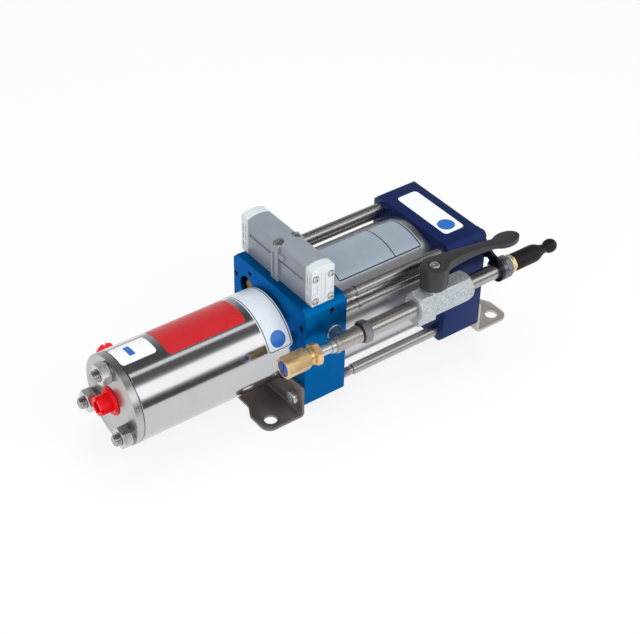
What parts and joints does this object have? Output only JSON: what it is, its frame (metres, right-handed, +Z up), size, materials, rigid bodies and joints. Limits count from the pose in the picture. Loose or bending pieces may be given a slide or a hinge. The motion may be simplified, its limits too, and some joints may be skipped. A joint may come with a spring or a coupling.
{
  "type": "gas booster pump",
  "caption": "Air-driven gas booster pump with a polished gas barrel, a spool valve on top, a side air line with relief and ball valves, and two bent feet.",
  "frame": {"origin": "on the floor, in the middle of the four holes of the feet", "axes": "+Z up, +X from the gas barrel to the rear cap, and the air line is on the -Y side"},
  "size_m": [0.4165, 0.1323, 0.143],
  "materials": {
    "block_blue": "satin anodised",
    "cap_navy": "satin anodised",
    "polished_stainless": "mirror polished",
    "bright_steel": "bright",
    "machined_steel": "machined",
    "stainless_sheet": "brushed",
    "dark_steel": "blackened",
    "zinc_body": "matt plated",
    "nickel": "nickel plated",
    "brass": "raw",
    "bronze": "sintered",
    "valve_grey": "satin",
    "valve_light": "satin",
    "red_plastic": "gloss",
    "blue_plastic": "satin",
    "black_plastic": "moulded",
    "black_rubber": "matt",
    "seal": "matt",
    "white_polymer": "matt"
  },
  "bodies": {
    "pump": {"centre_block": "block_blue", "rear_cap": "cap_navy", "rod_bush": "bronze", "rod_seals": "seal", "airway_plugs": "machined_steel", "silencer": "bronze", "drive_tube": "polished_stainless", "cylinder_seals": "seal", "tie_rods": "bright_steel", "tie_rod_screws": "machined_steel", "air_tubes": "bright_steel", "pilot_guides": "brass", "gas_head": "machined_steel", "gas_cylinder": "machined_steel", "barrel_jacket": "polished_stainless", "gas_studs": "machined_steel", "gas_stud_nuts": "machined_steel", "gas_stud_washers": "dark_steel", "outlet_retainer": "machined_steel", "outlet_spring": "machined_steel", "inlet_adapter": "machined_steel", "inlet_spring": "machined_steel", "port_plugs": "red_plastic", "valve_body": "valve_grey", "valve_end_caps": "valve_light", "valve_screws": "machined_steel", "valve_cap_screws": "machined_steel", "front_foot": "stainless_sheet", "rear_foot": "stainless_sheet", "foot_screws": "machined_steel", "air_tee": "nickel", "relief_nipple": "bright_steel", "relief_body": "brass", "relief_spring": "machined_steel", "relief_adjuster": "blue_plastic", "union_nut": "nickel", "line_pipes": "bright_steel", "ball_valve_body": "zinc_body", "ball_valve_end": "zinc_body", "ball_seats": "white_polymer", "line_bracket": "dark_steel", "lock_nut": "dark_steel", "coupling_plug": "brass"},
    "piston": {"air_piston": "machined_steel", "air_piston_guide": "white_polymer", "piston_seals": "seal", "piston_rod": "bright_steel", "piston_nuts": "machined_steel", "gas_piston": "machined_steel"},
    "spool": {"valve_spool": "bright_steel"},
    "front_pin": {"pilot_pin_front": "bright_steel"},
    "rear_pin": {"pilot_pin_rear": "bright_steel"},
    "outlet_check": {"outlet_poppet": "bright_steel"},
    "inlet_check": {"inlet_poppet": "bright_steel"},
    "relief_disc": {"relief_poppet": "brass"},
    "handle": {"valve_lever": "black_plastic", "lever_screw": "machined_steel", "ball_stem": "machined_steel", "valve_ball": "bright_steel"},
    "rubber_cap": {"dust_cap": "black_rubber"}
  },
  "joints": [
    {"name": "piston_stroke", "type": "slide", "parent": "pump", "child": "piston", "axis": [1, 0, 0], "range_m": [-0.034, 0.034]},
    {"name": "spool_shift", "type": "slide", "parent": "pump", "child": "spool", "axis": [0, 1, 0], "range_m": [-0.0033, 0.0033]},
    {"name": "front_pin_push", "type": "slide", "parent": "pump", "child": "front_pin", "axis": [1, 0, 0], "range_m": [-0.0034, 0], "stiffness_N_per_m": 500},
    {"name": "rear_pin_push", "type": "slide", "parent": "pump", "child": "rear_pin", "axis": [-1, 0, 0], "range_m": [-0.0034, 0], "stiffness_N_per_m": 500},
    {"name": "outlet_check_lift", "type": "slide", "parent": "pump", "child": "outlet_check", "axis": [-1, 0, 0], "range_m": [0, 0.0015], "stiffness_N_per_m": 500, "deforming": ["outlet_spring"]},
    {"name": "inlet_check_lift", "type": "slide", "parent": "pump", "child": "inlet_check", "axis": [0, -1, 0], "range_m": [0, 0.0015], "stiffness_N_per_m": 500, "deforming": ["inlet_spring"]},
    {"name": "relief_lift", "type": "slide", "parent": "pump", "child": "relief_disc", "axis": [-1, 0, 0], "range_m": [0, 0.0015], "stiffness_N_per_m": 500, "deforming": ["relief_spring"]},
    {"name": "valve_turn", "type": "hinge", "parent": "pump", "child": "handle", "pos_m": [0.02425, -0.0642, 0.0765], "axis": [0, 0, 1], "range_deg": [-90, 0]},
    {"name": "cap_pull", "type": "slide", "parent": "pump", "child": "rubber_cap", "axis": [1, 0, 0], "range_m": [0, 0.017]}
  ]
}
